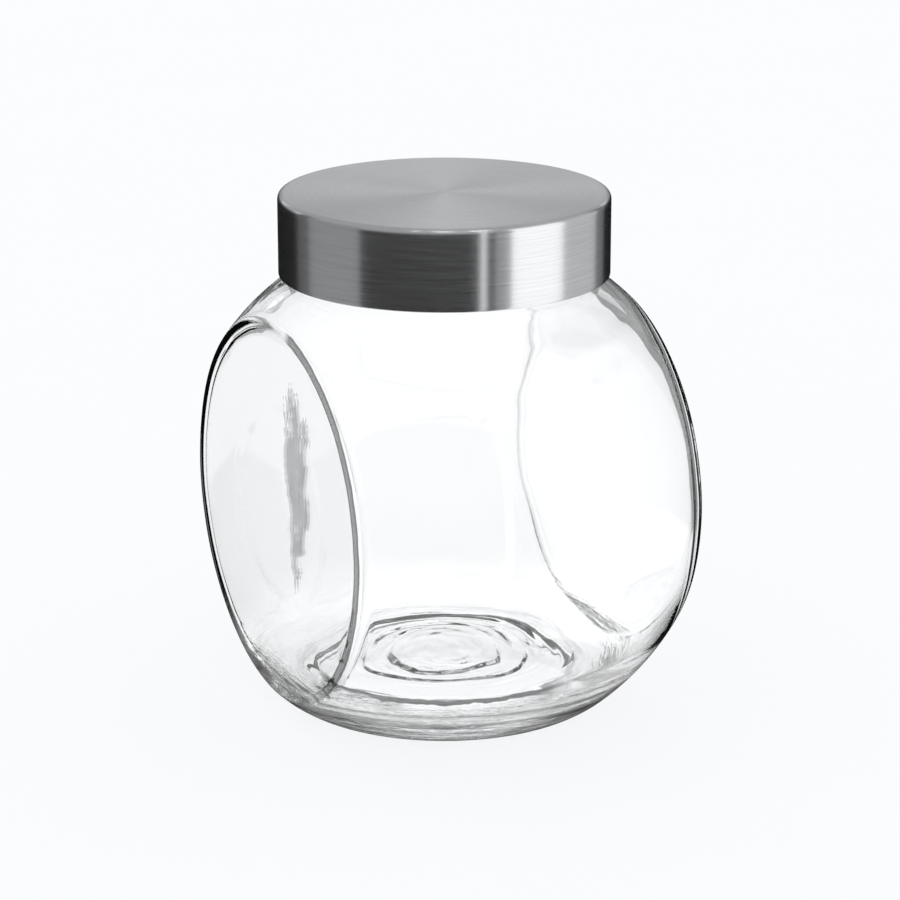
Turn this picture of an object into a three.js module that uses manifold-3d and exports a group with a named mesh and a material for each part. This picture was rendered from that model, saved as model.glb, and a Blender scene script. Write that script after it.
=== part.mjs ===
// A clear glass storage jar: a round body with two flat sides, and a screw lid made of a
// brushed steel shell over a threaded plastic insert, with a soft sealing ring.
// Millimetres, +Z up. The origin is the centre of the base, and the flat sides face +X and -X.

import * as THREE from 'three';
import { mergeVertices } from 'three/addons/utils/BufferGeometryUtils.js';
import Module from 'manifold-3d';

const wasm = await Module();
wasm.setup();

// ---- Driving dimensions ----------------------------------------------------------------

const GAP = 0.3;                  // running gap between pieces that rest on each other
const SEGMENTS = 56;              // sides of every turned piece

const BODY_RADIUS = 90.3;         // widest radius of the round body
const BODY_HALF_HEIGHT = 89.2;    // vertical half axis of the body's ellipse
const BODY_CENTRE_Z = 72.1;       // height of the widest place
const FLAT_X = 62.75;             // distance of each flat side from the middle
const SIDE_WALL = 2.9;            // glass thickness at the widest place and at the flat sides
const END_WALL = 4.8;             // thickness that the cavity's ellipse leaves at top and bottom
const FOOT_INNER = 43.5;          // the ring that the jar stands on
const FOOT_OUTER = 49;
const PUNT_RISE = 3.2;            // hollow under the base
const FLOOR_Z = 9;                // inside floor at its edge
const FLOOR_CROWN = 3.4;          // how much higher the middle of the floor is
const FLOOR_RADIUS = 45;

const NECK_RADIUS = 49.3;
const MOUTH_RADIUS = 45.3;
const RIM_Z = 169.5;

const LID_RADIUS = 55;
const LID_TOP_Z = 173.9;
const LID_BOTTOM_Z = 146.8;
const LID_EDGE = 2.2;             // radius of the rounded top edge
const SHEET = 0.55;               // steel thickness
const HEM = 2.4;                  // how far the lower edge is folded in

const INSERT_INNER = 52;
const INSERT_PLATE = 1.35;
const SEAL_THICKNESS = 1.6;
const SEAL_INNER = 44.6;

const THREAD_STARTS = 2;
const THREAD_PITCH = 6;           // from one ridge to the next, so one turn lifts the lid 12 mm
const THREAD_SWEEP = 205;         // degrees that each ridge runs round the neck
const JAR_RIDGE = 1.5;            // radius of the glass ridge's round section
const LID_RIDGE = 1.2;            // radius of the plastic ridge's round section
const RIDGE_DROP = 2.15;          // the plastic ridge lies this far under the glass one
const JAR_RIDGE_Z = 157.5;        // height of the glass ridge's lower end

// ---- Helpers ---------------------------------------------------------------------------

const point = (r, z) => new THREE.Vector2(r, z);

// Height of an ellipse's upper or lower branch at radius r.
const ellipseZ = (radius, half, r, side) =>
  BODY_CENTRE_Z + side * half * Math.sqrt(1 - (r / radius) ** 2);

// Points of an ellipse about the body's centre, from a height below its widest place to a
// height above it, with one point at the widest place itself.
function ellipseArc(radius, half, lowZ, highZ, steps) {
  const low = Math.asin((lowZ - BODY_CENTRE_Z) / half);
  const high = Math.asin((highZ - BODY_CENTRE_Z) / half);
  const below = Math.round((steps * -low) / (high - low));
  return Array.from({ length: steps + 1 }, (_, i) => {
    const angle = i < below ? low * (1 - i / below) : (high * (i - below)) / (steps - below);
    return point(radius * Math.cos(angle), BODY_CENTRE_Z + half * Math.sin(angle));
  });
}

const lastOf = (points) => points[points.length - 1];

// Points of a smooth bend from one point to another, pulled towards a corner.
function bend(from, corner, to, steps) {
  return new THREE.QuadraticBezierCurve(from, corner, to).getPoints(steps);
}

// A closed mesh with shared vertices and outward faces, as a solid that can be joined and cut.
function toSolid(geometry) {
  geometry.deleteAttribute('normal');
  geometry.deleteAttribute('uv');
  const merged = mergeVertices(geometry, 1e-4);
  const position = merged.attributes.position;
  const corner = [new THREE.Vector3(), new THREE.Vector3(), new THREE.Vector3()];
  const triangles = [];
  let volume = 0;
  for (let i = 0; i < merged.index.count; i += 3) {
    const [a, b, c] = merged.index.array.slice(i, i + 3);
    if (a === b || b === c || c === a) continue;
    [a, b, c].forEach((vertex, k) => corner[k].fromBufferAttribute(position, vertex));
    volume += corner[0].dot(corner[1].clone().cross(corner[2]));
    triangles.push([a, b, c]);
  }
  const outward = volume > 0 ? triangles : triangles.map(([a, b, c]) => [a, c, b]);
  return new wasm.Manifold(new wasm.Mesh({
    numProp: 3,
    vertProperties: new Float32Array(position.array),
    triVerts: new Uint32Array(outward.flat()),
  }));
}

function toGeometry(solid) {
  const mesh = solid.getMesh();
  const geometry = new THREE.BufferGeometry();
  geometry.setAttribute('position', new THREE.BufferAttribute(mesh.vertProperties, 3));
  geometry.setIndex(new THREE.BufferAttribute(mesh.triVerts, 1));
  geometry.computeVertexNormals();
  return geometry;
}

// A piece turned about the vertical axis from its outline of (radius, height) points.
function turned(outline) {
  return toSolid(new THREE.LatheGeometry(outline, SEGMENTS).rotateX(Math.PI / 2));
}

// A slab between two planes square to X, used to cut the flat sides.
function slab(halfWidth) {
  const size = 4 * BODY_RADIUS;
  return toSolid(new THREE.BoxGeometry(2 * halfWidth, size, size));
}

// The line of one thread ridge. Both of its ends sink sideways by `sink`, so that the ridge
// fades into its wall: inwards into the neck, or outwards into the insert.
class RidgeLine extends THREE.Curve {
  constructor(radius, lowZ, startAngle, sink) {
    super();
    Object.assign(this, { radius, lowZ, startAngle, sink });
  }

  getPoint(t, target = new THREE.Vector3()) {
    const turn = THREE.MathUtils.degToRad(THREAD_SWEEP) * t;
    const fade = THREE.MathUtils.smoothstep(Math.abs(2 * t - 1), 0.8, 1);
    const r = this.radius + this.sink * fade;
    const angle = this.startAngle + turn;
    const rise = (THREAD_STARTS * THREAD_PITCH * turn) / (2 * Math.PI);
    return target.set(r * Math.cos(angle), r * Math.sin(angle), this.lowZ + rise);
  }
}

// Every start of a thread, each a round ridge swept along its line.
function ridges(radius, section, lowZ, sink) {
  const outline = new THREE.Shape(
    Array.from({ length: 8 }, (_, i) => {
      const angle = (i * Math.PI) / 4;
      return point(section * Math.cos(angle), section * Math.sin(angle));
    }));
  return Array.from({ length: THREAD_STARTS }, (_, start) => {
    const line = new RidgeLine(radius, lowZ, (start * 2 * Math.PI) / THREAD_STARTS, sink);
    const options = { extrudePath: line, steps: 34, bevelEnabled: false };
    return toSolid(new THREE.ExtrudeGeometry(outline, options));
  });
}

// ---- Glass jar -------------------------------------------------------------------------

function jarOutside() {
  const heelZ = 4.5;
  const shoulderR = NECK_RADIUS + 2.4;
  const shoulderZ = ellipseZ(BODY_RADIUS, BODY_HALF_HEIGHT, shoulderR, 1);
  const cornerZ = ellipseZ(BODY_RADIUS, BODY_HALF_HEIGHT, NECK_RADIUS, 1);
  const wall = ellipseArc(BODY_RADIUS, BODY_HALF_HEIGHT, heelZ, shoulderZ, 20);
  const heelCorner = point(BODY_RADIUS * Math.sqrt(1 - (BODY_CENTRE_Z / BODY_HALF_HEIGHT) ** 2), 0);
  return [
    point(0, PUNT_RISE),
    ...bend(point(FOOT_INNER / 2, PUNT_RISE), point(FOOT_INNER - 4, PUNT_RISE), point(FOOT_INNER, 0), 3),
    ...bend(point(FOOT_OUTER, 0), heelCorner, wall[0], 4),
    ...wall.slice(1),
    ...bend(lastOf(wall), point(NECK_RADIUS, cornerZ), point(NECK_RADIUS, cornerZ + 3), 3).slice(1),
    ...bend(point(NECK_RADIUS, RIM_Z - 1.4), point(NECK_RADIUS, RIM_Z), point(NECK_RADIUS - 1.4, RIM_Z), 2),
    point(0, RIM_Z),
  ];
}

function jarCavity() {
  const radius = BODY_RADIUS - SIDE_WALL;
  const half = BODY_HALF_HEIGHT - END_WALL;
  const heelZ = 2 * FLOOR_Z;
  const shoulderZ = ellipseZ(radius, half, MOUTH_RADIUS + 3.6, 1);
  const cornerZ = ellipseZ(radius, half, MOUTH_RADIUS, 1);
  const wall = ellipseArc(radius, half, heelZ, shoulderZ, 15);
  const above = RIM_Z + 5;
  return [
    point(0, FLOOR_Z + FLOOR_CROWN),
    point(17, FLOOR_Z + 0.9 * FLOOR_CROWN),
    point(19, FLOOR_Z + 0.6 * FLOOR_CROWN),
    point(27, FLOOR_Z + 0.45 * FLOOR_CROWN),
    point(29, FLOOR_Z + 0.2 * FLOOR_CROWN),
    ...bend(point(FLOOR_RADIUS, FLOOR_Z), point(60, FLOOR_Z - 0.4), wall[0], 5),
    ...wall.slice(1),
    ...bend(lastOf(wall), point(MOUTH_RADIUS, cornerZ), point(MOUTH_RADIUS, cornerZ + 4), 3).slice(1),
    point(MOUTH_RADIUS, RIM_Z - 1.2),
    point(MOUTH_RADIUS + 1.2, RIM_Z),
    point(MOUTH_RADIUS + 1.2, above),
    point(0, above),
  ];
}

function glassJar() {
  const outside = turned(jarOutside()).intersect(slab(FLAT_X));
  const cavity = turned(jarCavity()).intersect(slab(FLAT_X - SIDE_WALL));
  const line = NECK_RADIUS + 0.3;
  const thread = ridges(line, JAR_RIDGE, JAR_RIDGE_Z, -1.9);
  return thread.reduce((jar, ridge) => jar.add(ridge), outside).subtract(cavity);
}

// ---- Lid -------------------------------------------------------------------------------

function lidShell() {
  const inner = LID_RADIUS - SHEET;
  const under = LID_TOP_Z - SHEET;
  const bendR = LID_EDGE - SHEET;
  const foldIn = LID_RADIUS - HEM;
  return turned([
    point(0, LID_TOP_Z),
    ...bend(point(LID_RADIUS - LID_EDGE, LID_TOP_Z), point(LID_RADIUS, LID_TOP_Z),
            point(LID_RADIUS, LID_TOP_Z - LID_EDGE), 4),
    ...bend(point(LID_RADIUS, LID_BOTTOM_Z + 0.6), point(LID_RADIUS, LID_BOTTOM_Z),
            point(LID_RADIUS - 0.6, LID_BOTTOM_Z), 2),
    point(foldIn, LID_BOTTOM_Z),
    point(foldIn, LID_BOTTOM_Z + SHEET),
    point(inner, LID_BOTTOM_Z + SHEET),
    ...bend(point(inner, under - bendR), point(inner, under), point(inner - bendR, under), 3),
    point(0, under),
  ]);
}

const INSERT_OUTER = LID_RADIUS - SHEET - GAP;
const INSERT_TOP_Z = LID_TOP_Z - SHEET - GAP;
const SEAL_TOP_Z = INSERT_TOP_Z - INSERT_PLATE - GAP;
const SEAL_BOTTOM_Z = SEAL_TOP_Z - SEAL_THICKNESS;

// The insert is a cup: a top plate, a wall with the inside thread, a bead that keeps the
// sealing ring up, and a low ring under the plate that keeps the sealing ring central.
function lidInsert() {
  const plateZ = INSERT_TOP_Z - INSERT_PLATE;
  const bottomZ = LID_BOTTOM_Z + SHEET + GAP;
  const beadTop = SEAL_BOTTOM_Z - GAP;
  const guide = SEAL_INNER - GAP;
  const cup = turned([
    point(0, INSERT_TOP_Z),
    point(INSERT_OUTER - 2, INSERT_TOP_Z),
    point(INSERT_OUTER, INSERT_TOP_Z - 2),
    point(INSERT_OUTER, bottomZ),
    point(INSERT_INNER + 0.7, bottomZ),
    point(INSERT_INNER, bottomZ + 0.9),
    point(INSERT_INNER, beadTop - 1.2),
    point(INSERT_INNER - 0.7, beadTop - 0.4),
    point(INSERT_INNER - 0.7, beadTop),
    point(INSERT_INNER, beadTop),
    point(INSERT_INNER, plateZ),
    point(guide, plateZ),
    point(guide, plateZ - 1.4),
    point(guide - 1.6, plateZ - 1.4),
    point(guide - 1.6, plateZ),
    point(0, plateZ),
  ]);
  const outside = turned([
    point(0, bottomZ), point(INSERT_OUTER, bottomZ), point(INSERT_OUTER, INSERT_TOP_Z - 2),
    point(0, INSERT_TOP_Z - 2),
  ]);
  const line = INSERT_INNER - 0.2;
  const thread = ridges(line, LID_RIDGE, JAR_RIDGE_Z - RIDGE_DROP, 1.4);
  return thread.reduce((insert, ridge) => insert.add(ridge.intersect(outside)), cup);
}

function sealRing() {
  const outer = INSERT_INNER - GAP;
  const soft = 0.4;
  const inner = SEAL_INNER;
  return turned([
    point(inner + soft, SEAL_BOTTOM_Z),
    point(outer - soft, SEAL_BOTTOM_Z),
    point(outer, SEAL_BOTTOM_Z + soft),
    point(outer, SEAL_TOP_Z - soft),
    point(outer - soft, SEAL_TOP_Z),
    point(inner + soft, SEAL_TOP_Z),
    point(inner, SEAL_TOP_Z - soft),
    point(inner, SEAL_BOTTOM_Z + soft),
    point(inner + soft, SEAL_BOTTOM_Z),
  ]);
}

// ---- Scene -----------------------------------------------------------------------------

const finishes = {
  glass: { color: 0xf2f6f6, roughness: 0.03, metalness: 0, transparent: true, opacity: 0.35 },
  brushedSteel: { color: 0xb4b6b8, roughness: 0.32, metalness: 1 },
  whitePlastic: { color: 0xeeeeea, roughness: 0.45, metalness: 0 },
  clearSilicone: { color: 0xdfe3e2, roughness: 0.55, metalness: 0 },
};

function piece(name, solid, finish) {
  const mesh = new THREE.Mesh(toGeometry(solid), new THREE.MeshStandardMaterial(finish));
  mesh.name = name;
  return mesh;
}

const jar = new THREE.Group();
const lid = new THREE.Group();
jar.add(piece('glass_jar', glassJar(), finishes.glass));
lid.add(piece('lid_shell', lidShell(), finishes.brushedSteel));
lid.add(piece('lid_insert', lidInsert(), finishes.whitePlastic));
lid.add(piece('seal_ring', sealRing(), finishes.clearSilicone));
jar.add(lid);

export default jar;
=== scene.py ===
"""Looks for a round glass storage jar with two flat sides and a brushed steel screw lid.

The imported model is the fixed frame. Every piece is built in metres, in the frame's own axes: +Z up,
the origin at the centre of the base, and the flat sides facing +X and -X.
"""

from __future__ import annotations

import logging
import math
from dataclasses import dataclass, field
from enum import Enum
from typing import Callable, Sequence

import bmesh
import bpy
import numpy as np
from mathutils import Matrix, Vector

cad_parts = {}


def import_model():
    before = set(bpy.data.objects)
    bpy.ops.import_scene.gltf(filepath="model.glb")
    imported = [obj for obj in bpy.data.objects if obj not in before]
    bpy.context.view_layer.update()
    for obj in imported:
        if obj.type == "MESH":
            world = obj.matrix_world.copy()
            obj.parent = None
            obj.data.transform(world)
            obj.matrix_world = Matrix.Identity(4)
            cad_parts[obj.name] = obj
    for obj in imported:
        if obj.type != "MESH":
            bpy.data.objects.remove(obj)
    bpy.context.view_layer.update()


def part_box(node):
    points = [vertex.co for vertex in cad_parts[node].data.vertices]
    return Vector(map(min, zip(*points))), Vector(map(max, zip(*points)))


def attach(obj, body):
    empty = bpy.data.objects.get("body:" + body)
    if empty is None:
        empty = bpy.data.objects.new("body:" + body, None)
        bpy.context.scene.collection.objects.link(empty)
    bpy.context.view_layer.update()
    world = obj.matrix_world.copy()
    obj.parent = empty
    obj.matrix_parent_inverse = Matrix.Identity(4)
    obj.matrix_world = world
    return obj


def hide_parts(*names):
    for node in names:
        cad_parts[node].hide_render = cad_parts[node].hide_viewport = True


log = logging.getLogger("jar")

MM = 0.001
TURN = 2 * math.pi

Value = "Socket | float | Sequence[float]"
Colour = tuple[float, float, float]
Span = tuple[float, float]


# ---- Shader maths --------------------------------------------------------------------------


class Socket:
    """One output of a shader node, with arithmetic on values written as Math nodes."""

    def __init__(self, graph: Graph, socket: bpy.types.NodeSocket) -> None:
        """Wraps a node's output.

        Args:
            graph: the node tree that the output belongs to.
            socket: the output itself.
        """
        self.graph = graph
        self.socket = socket

    def _math(self, operation: str, *values: Value) -> Socket:
        """Adds one Math node on these values."""
        return self.graph.add("ShaderNodeMath", {"operation": operation}, dict(enumerate(values)))

    def __add__(self, other: Value) -> Socket:
        """self + other."""
        return self._math("ADD", self, other)

    __radd__ = __add__

    def __sub__(self, other: Value) -> Socket:
        """self - other."""
        return self._math("SUBTRACT", self, other)

    def __rsub__(self, other: Value) -> Socket:
        """other - self."""
        return self._math("SUBTRACT", other, self)

    def __mul__(self, other: Value) -> Socket:
        """self * other."""
        return self._math("MULTIPLY", self, other)

    __rmul__ = __mul__

    def __truediv__(self, other: Value) -> Socket:
        """self / other."""
        return self._math("DIVIDE", self, other)

    def __pow__(self, other: Value) -> Socket:
        """self to the power of other."""
        return self._math("POWER", self, other)

    def __abs__(self) -> Socket:
        """The size of self without its sign."""
        return self._math("ABSOLUTE", self)

    def highest(self, other: Value) -> Socket:
        """The higher of self and other."""
        return self._math("MAXIMUM", self, other)

    def smooth(self, low: float, high: float) -> Socket:
        """A smooth step from 0 at low to 1 at high.

        Args:
            low: where the step starts.
            high: where it ends.

        Returns:
            The step.
        """
        return self.graph.add(
            "ShaderNodeMapRange",
            {"interpolation_type": "SMOOTHSTEP"},
            {"Value": self, "From Min": low, "From Max": high},
        )


class Graph:
    """A material's or world's node tree that is filled by code."""

    def __init__(self, tree: bpy.types.NodeTree) -> None:
        """Empties the tree.

        Args:
            tree: the node tree to fill.
        """
        self.tree = tree
        tree.nodes.clear()

    def add(
        self, kind: str, settings: dict | None = None, sockets: dict | None = None, out: int | str = 0
    ) -> Socket:
        """Adds a node.

        Args:
            kind: the node's type.
            settings: properties that are set first.
            sockets: a value or a Socket for each input, by name or place.
            out: which output is returned.

        Returns:
            The node's chosen output, or a Socket round None for an output node.
        """
        node = self.tree.nodes.new(kind)
        for name, value in (settings or {}).items():
            setattr(node, name, value)
        for key, value in (sockets or {}).items():
            target = node.inputs[key]
            if isinstance(value, Socket):
                self.tree.links.new(value.socket, target)
            else:
                target.default_value = value
        return Socket(self, node.outputs[out] if len(node.outputs) else None)

    def mix(self, share: Value, first: Value, second: Value) -> Socket:
        """A colour between first and second."""
        inputs = {0: share, 6: self._colour(first), 7: self._colour(second)}
        return self.add("ShaderNodeMix", {"data_type": "RGBA"}, inputs, out=2)

    @staticmethod
    def _colour(value: Value) -> Value:
        """A three-part colour with its alpha added, or the socket as it is."""
        return value if isinstance(value, Socket) or len(value) == 4 else (*value, 1.0)

    def scaled(self, vector: Value, factors: Sequence[float]) -> Socket:
        """A vector with each part multiplied by its own factor."""
        return self.add("ShaderNodeVectorMath", {"operation": "MULTIPLY"}, {0: vector, 1: factors})

    def parts(self, vector: Value) -> tuple[Socket, Socket, Socket]:
        """A vector's X, Y and Z."""
        node = self.add("ShaderNodeSeparateXYZ", {}, {0: vector}).socket.node
        x, y, z = (Socket(self, output) for output in node.outputs)
        return x, y, z

    def vector(self, x: Value, y: Value, z: Value) -> Socket:
        """A vector from its three parts."""
        return self.add("ShaderNodeCombineXYZ", {}, {"X": x, "Y": y, "Z": z})

    def off_axis(self, vector: Value) -> Socket:
        """How far a point lies from the Z axis."""
        flat = self.scaled(vector, (1.0, 1.0, 0.0))
        return self.add("ShaderNodeVectorMath", {"operation": "LENGTH"}, {0: flat}, out="Value")

    def place(self) -> Socket:
        """The surface point in the piece's own coordinates, in metres."""
        return self.add("ShaderNodeTexCoord", out="Object")

    def noise(self, vector: Value, scale: float, detail: float = 2.0, rough: float = 0.5) -> Socket:
        """Soft noise between 0 and 1 at a vector."""
        inputs = {"Vector": vector, "Scale": scale, "Detail": detail, "Roughness": rough}
        return self.add("ShaderNodeTexNoise", {}, inputs)

    def bump(self, height: Value, depth: float, normal: Socket | None = None) -> Socket:
        """A bumped normal.

        Args:
            height: the relief, from 0 to 1.
            depth: how deep that relief is, in metres.
            normal: a normal that is already bumped, to bump further.

        Returns:
            The normal, for a shader's Normal socket.
        """
        under = {} if normal is None else {"Normal": normal}
        return self.add("ShaderNodeBump", {}, {"Height": height, "Distance": depth, **under})

    def finish(self, surface: dict, volume: Socket | None = None) -> None:
        """Ends a material with one Principled shader.

        Args:
            surface: a value or a Socket for each of the shader's inputs.
            volume: the shader of the inside, if the material has one.
        """
        shader = self.add("ShaderNodeBsdfPrincipled", {}, surface)
        inside = {} if volume is None else {"Volume": volume}
        self.add("ShaderNodeOutputMaterial", {}, {"Surface": shader, **inside})


def new_material(name: str) -> tuple[bpy.types.Material, Graph]:
    """Starts a node material.

    Args:
        name: the material's name.

    Returns:
        The material and its empty graph.
    """
    material = bpy.data.materials.new(name)
    material.use_nodes = True
    material.cycles.emission_sampling = "NONE"
    return material, Graph(material.node_tree)


# ---- Finishes ------------------------------------------------------------------------------


@dataclass(frozen=True)
class Spot:
    """Where a point of the jar's surface lies, as sockets in metres."""

    place: Socket
    x: Socket
    y: Socket
    z: Socket
    radius: Socket
    ahead: Socket

    @classmethod
    def on(cls, graph: Graph, front: Span) -> Spot:
        """Finds the point that is being shaded.

        Args:
            graph: the material's graph.
            front: the level direction in which ahead is 1.

        Returns:
            The point, whose ahead falls from 1 at the front to -1 behind.
        """
        place = graph.place()
        x, y, z = graph.parts(place)
        radius = graph.off_axis(place)
        return cls(place, x, y, z, radius, (x * front[0] + y * front[1]) / radius)


@dataclass(frozen=True)
class ClearGlass:
    """Clear pressed and blown soda-lime glass, with shade painted into it: a little darker where it is
    seen edge on, and painted dark lines, streaks and glow.
    """

    name: str = "clear_glass"
    tint: Colour = (0.992, 0.995, 0.995)
    # painted shade: the colour that the glass darkens to where it is seen edge on, standing in for dark
    # surroundings seen in it
    painted_edge_shade: Colour = (0.32, 0.33, 0.34)
    edge_facing: Span = (0.80, 1.0)
    index: float = 1.5
    absorbed: Colour = (0.80, 0.86, 0.86)
    density: float = 2.0
    smear_roughness: float = 0.012
    orange_peel: float = 0.02 * MM
    streak_depth: float = 0.40 * MM
    heel_span: Span = (10.8 * MM, 27 * MM)
    heel_radii: Span = (50 * MM, 55 * MM)
    low_heel: Span = (8 * MM, 14 * MM)
    shoulder_span: Span = (118 * MM, 138 * MM)
    neck_span: Span = (143 * MM, 147 * MM)
    # painted glow: how brightly the heel's streaks and the flats' rims glow, so that they read grey
    painted_glow: float = 0.08
    # the level direction towards the camera; the painted shade in the heel and round the floor is
    # strongest on this side
    front: Span = (-0.447, -0.894)
    # painted shade: the colour of the dark streaks in the heel and the dark lines round the inside floor
    painted_strand_shade: Colour = (0.02, 0.0205, 0.021)
    strand_radius: float = 46.8 * MM
    strand_half: float = 2.8 * MM
    # painted shade: the colour of the dark line in the front of the heel
    painted_heel_shade: Colour = (0.005, 0.0051, 0.0052)
    heel_line_z: float = 23 * MM
    heel_line_climb: float = 28 * MM
    heel_line_half: float = 1.2 * MM
    heel_wall: Span = (72.8 * MM, 73.6 * MM)
    # painted reflection: the grey of the upright streak on the flat facing -X
    painted_streak_shade: Colour = (0.42, 0.425, 0.43)
    mark_middle: Span = (-17 * MM, 84 * MM)
    mark_half: Span = (10 * MM, 31 * MM)
    mark_plane: float = -59 * MM
    # painted shade: the colour of the dark lines along the flats' rims
    painted_rim_shade: Colour = (0.018, 0.0185, 0.019)
    rim_plane: float = 60.9 * MM
    rim_radius: float = 63.8 * MM
    rim_flatness: float = 1.0125
    rim_half: float = 1.25 * MM
    rim_fade: Span = (10 * MM, 24 * MM)
    centre_z: float = 72.1 * MM

    def material(self) -> bpy.types.Material:
        """Builds the glass: painted shade at grazing angles and in dark lines and streaks, a painted glow,
        surface waves and light lost in thick places.

        Returns:
            The material.
        """
        material, graph = new_material(self.name)
        spot = Spot.on(graph, self.front)
        heel = 1.0 - spot.z.smooth(*self.heel_span)
        heel = heel * spot.radius.smooth(*self.heel_radii)
        laid = graph.noise(graph.scaled(spot.place, (1.0, 1.0, 11.0)), 60.0, 3.0, 0.6)
        rim = self.painted_rim_lines(graph, spot)
        # painted glow in the heel's streaks and along the flats' rims
        painted_glow = heel * (laid.smooth(0.38, 0.62) * 0.75 + 0.25) + rim * 0.2
        smears = graph.noise(spot.place, 45.0, 2.0)
        lost = {"Color": (*self.absorbed, 1.0), "Density": self.density}
        surface = {
            "Base Color": self.colour(graph, spot, heel, laid, rim),
            "Roughness": smears.smooth(0.45, 0.8) * self.smear_roughness,
            "IOR": self.index,
            "Transmission Weight": 1.0,
            "Emission Color": graph.mix(painted_glow, (0.0, 0.0, 0.0), (self.painted_glow,) * 3),
            "Emission Strength": 1.0,
            "Normal": self.relief(graph, spot, heel, laid),
        }
        graph.finish(surface, graph.add("ShaderNodeVolumeAbsorption", {}, lost))
        return material

    def colour(self, graph: Graph, spot: Spot, heel: Socket, laid: Socket, rim: Socket) -> Socket:
        """The glass's colour: clear, with painted shade edge on, a painted reflection on one flat, and
        painted dark lines at the flats' rims, in the heel and round the inside floor.

        Args:
            graph: the material's graph.
            spot: the point that is being shaded.
            heel: the mask of the thick heel.
            laid: the noise of the streaks that lie round the heel.
            rim: the mask of the painted dark lines along the flats' rims.

        Returns:
            The colour.
        """
        facing = graph.add("ShaderNodeLayerWeight", {}, {"Blend": 0.5}, out="Facing")
        low = (1.0 - spot.z.smooth(*self.low_heel)) * spot.ahead.smooth(-0.1, 0.5)
        layers = (
            # painted shade where the glass is seen edge on
            (facing.smooth(*self.edge_facing), self.painted_edge_shade),
            # painted reflection: a grey streak on one flat
            (self.painted_flat_streak(graph, spot), self.painted_streak_shade),
            # painted shade along the flats' rims
            (rim, self.painted_rim_shade),
            # painted shade: dark streaks in the front of the heel
            (heel * low * laid.smooth(0.50, 0.62) * 0.7, self.painted_strand_shade),
            # painted shade: dark lines round the inside floor
            (self.painted_floor_lines(graph, spot), self.painted_strand_shade),
            # painted shade: a dark line in the front of the heel
            (self.heel_line(graph, spot), self.painted_heel_shade),
        )
        colour = self.tint
        for mask, tint in layers:
            colour = graph.mix(mask, colour, tint)
        return colour

    def relief(self, graph: Graph, spot: Spot, heel: Socket, laid: Socket) -> Socket:
        """The surface's relief: streaks in the heel and the shoulder under a faint orange peel.

        Args:
            graph: the material's graph.
            spot: the point that is being shaded.
            heel: the mask of the thick heel.
            laid: the noise of the streaks that lie round the heel.

        Returns:
            The normal.
        """
        shoulder = spot.z.smooth(*self.shoulder_span) * (1.0 - spot.z.smooth(*self.neck_span))
        drawn = graph.noise(graph.scaled(spot.place, (1.0, 1.0, 0.45)), 95.0, 1.0, 0.5)
        streaks = graph.bump(laid * heel + drawn * shoulder * 0.3, self.streak_depth)
        waves = graph.noise(graph.scaled(spot.place, (1.0, 1.0, 1.6)), 60.0, 3.0, 0.45)
        return graph.bump(waves, self.orange_peel, normal=streaks)

    def painted_flat_streak(self, graph: Graph, spot: Spot) -> Socket:
        """A painted dark reflection: a ragged upright grey streak on the flat facing -X.

        Args:
            graph: the material's graph.
            spot: the point that is being shaded.

        Returns:
            The painted streak's mask.
        """
        ragged = graph.noise(graph.scaled(spot.place, (0.0, 1.0, 0.4)), 260.0, 4.0, 0.65)
        bends = graph.noise(graph.scaled(spot.place, (0.0, 0.0, 1.0)), 45.0, 2.0)
        along = (spot.z - self.mark_middle[1]) / self.mark_half[1]
        across = (spot.y - self.mark_middle[0] + (bends - 0.5) * 16 * MM) / self.mark_half[0]
        across = across * (1.3 - along * 0.5)
        inside = 1.0 - across * across - along * along + (ragged - 0.5) * 4.0
        on_flat = 1.0 - spot.x.smooth(self.mark_plane, self.mark_plane + 1 * MM)
        return inside.smooth(0.0, 0.12) * on_flat * (0.85 + (ragged - 0.5) * 0.8)

    def painted_floor_lines(self, graph: Graph, spot: Spot) -> Socket:
        """Painted shade: wavy dark lines where the inside floor meets the wall, strongest at the front.

        Args:
            graph: the material's graph.
            spot: the point that is being shaded.

        Returns:
            The painted lines' mask.
        """
        wave = graph.noise(graph.scaled(spot.place, (1.0, 1.0, 0.0)), 60.0, 3.0, 0.6)
        reach = spot.radius + (wave - 0.5) * 7 * MM
        front = spot.ahead.smooth(0.1, 0.8)
        off = (reach - self.strand_radius - front * 2.5 * MM) / self.strand_half
        around = (spot.x / spot.radius * 2.0, spot.y / spot.radius * 2.0)
        fibres = graph.noise(graph.vector(*around, reach * 520.0), 1.0, 2.0, 0.5).smooth(0.43, 0.53)
        fibres = fibres * (1.0 - front * 0.9) + front * 0.9
        on_floor = spot.z.smooth(6.5 * MM, 7.5 * MM) * (1.0 - spot.z.smooth(12.5 * MM, 14 * MM))
        return self.band(off) * fibres * (0.3 + front * 0.7) * on_floor

    def heel_line(self, graph: Graph, spot: Spot) -> Socket:
        """Painted shade: a wavy dark line inside the front of the heel, where the wall begins to thicken.

        Args:
            graph: the material's graph.
            spot: the point that is being shaded.

        Returns:
            The painted line's mask.
        """
        wave = graph.noise(graph.scaled(spot.place, (1.0, 1.0, 0.3)), 70.0, 3.0, 0.6)
        middle = (1.0 - spot.ahead) * self.heel_line_climb + self.heel_line_z
        off = (spot.z - middle + (wave - 0.5) * 5 * MM) / (self.heel_line_half * (wave * 1.6 + 0.2))
        wall = spot.radius - (spot.z - self.heel_line_z) * 0.8
        return self.band(off) * (1.0 - wall.smooth(*self.heel_wall)) * spot.ahead.smooth(0.78, 0.90)

    @staticmethod
    def band(off: Socket) -> Socket:
        """A soft-edged band that is full where off is 0 and gone at -1 and 1."""
        return (1.0 - off * off).smooth(0.0, 0.5)

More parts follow.
